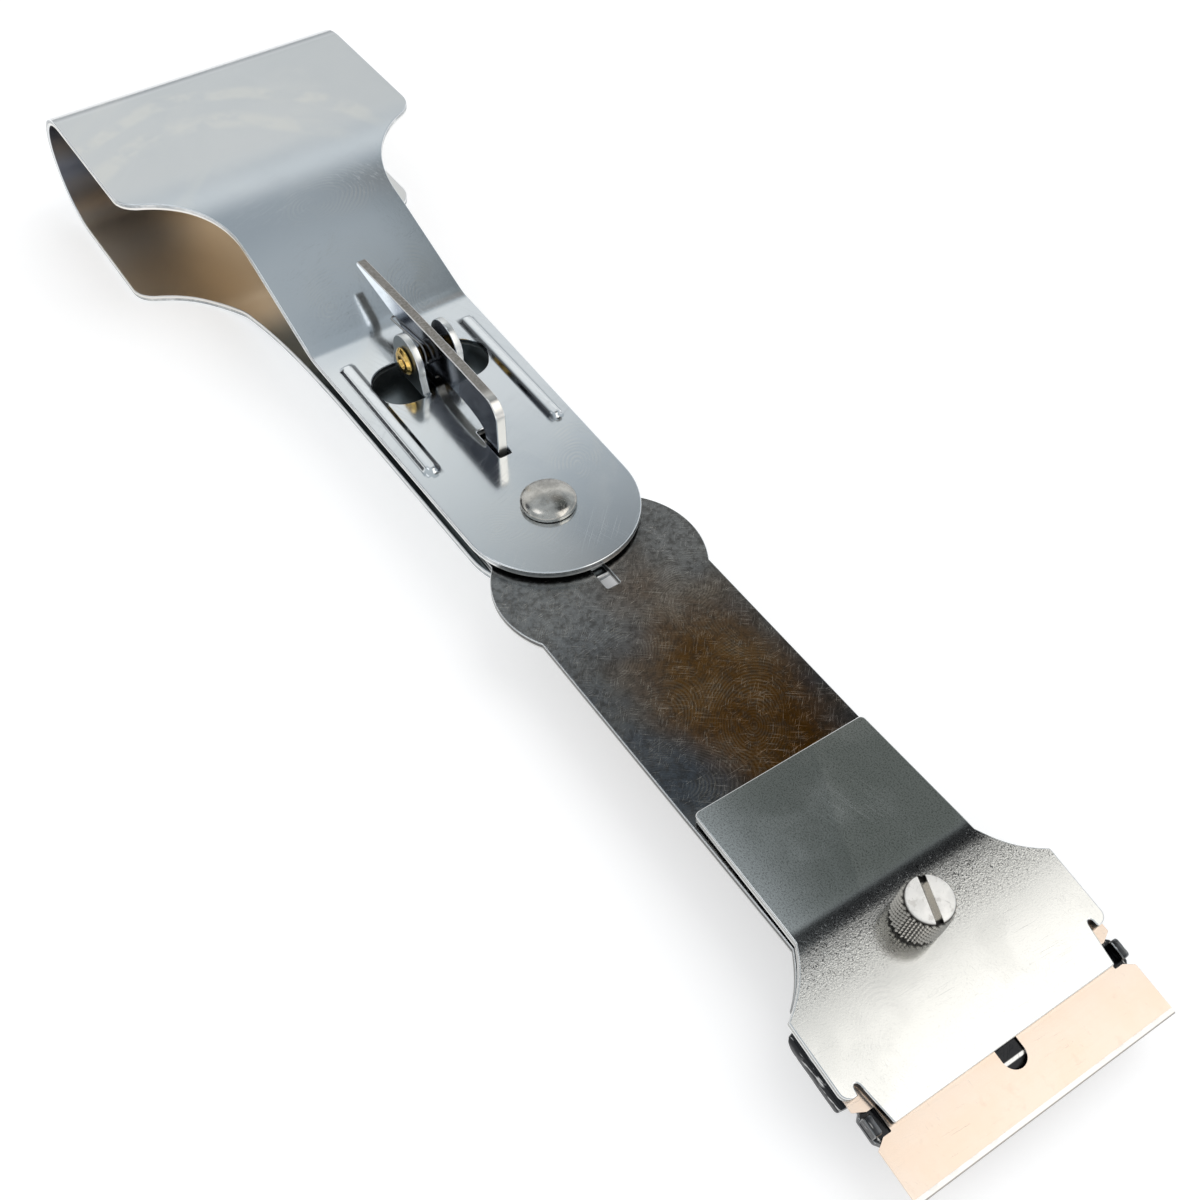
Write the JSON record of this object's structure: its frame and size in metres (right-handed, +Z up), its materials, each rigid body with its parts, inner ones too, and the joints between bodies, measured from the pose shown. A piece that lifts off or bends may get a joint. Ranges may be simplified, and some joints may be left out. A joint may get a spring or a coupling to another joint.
{
  "type": "razor scraper",
  "caption": "Folding razor scraper: a bent steel loop handle with a rocking lock lever, a pivoting arm, and a clamp plate with a thumb screw that holds a wide single-edge blade.",
  "frame": {"origin": "middle of the tool's box at its underside, which is the flat underside of the handle's loop", "axes": "+X from the loop towards the blade's edge, +Y to the left, +Z up, out of the face that carries the lever"},
  "size_m": [0.2335, 0.0556, 0.0232],
  "materials": {
    "plated_steel": "bright plated sheet steel with a bluish cast, finely scratched",
    "rivet_nickel": "dull warm nickel plate",
    "washer_steel": "plain steel",
    "arm_steel": "dark plated sheet steel, handled and scuffed",
    "clamp_steel": "bright plated sheet steel, fine grain",
    "blade_copper": "bright steel with a pale coppery coat and a ground edge",
    "screw_nickel": "nickel plate, knurled side and turned top",
    "lever_steel": "bright plated steel with sheared edges",
    "pin_brass": "bright brass",
    "spring_steel": "drawn spring wire"
  },
  "bodies": {
    "grip": {"handle": "plated_steel", "pivot_rivet": "rivet_nickel", "pivot_washer": "washer_steel", "lever_pin": "pin_brass"},
    "swing_arm": {"arm": "arm_steel", "blade": "blade_copper"},
    "lever": {"lock_lever": "lever_steel", "lever_spring": "spring_steel"},
    "clamp": {"clamp_plate": "clamp_steel"},
    "screw": {"thumb_screw": "screw_nickel"}
  },
  "joints": [
    {"name": "arm_fold", "type": "hinge", "parent": "grip", "child": "swing_arm", "pos_m": [0.01186, 0, 0.0107], "axis": [0, 0, 1], "range_deg": [-180, 180]},
    {"name": "lever_rock", "type": "hinge", "parent": "grip", "child": "lever", "pos_m": [-0.02294, 0, 0.0172], "axis": [0, -1, 0], "range_deg": [-3.9, 5], "stiffness_Nm_per_rad": 0.05, "springref_deg": -8.59},
    {"name": "clamp_lift", "type": "slide", "parent": "swing_arm", "child": "clamp", "axis": [0.1661, 0, 0.9861], "range_m": [0, 0.00105]},
    {"name": "screw_turn", "type": "hinge", "parent": "clamp", "child": "screw", "pos_m": [0.09209, 0, 0.01047], "axis": [0.1661, 0, 0.9861], "range_deg": [0, 540]}
  ],
  "couplings": [
    {"joint": "screw_turn", "follows": "clamp_lift", "rad_per_m": 8976}
  ]
}
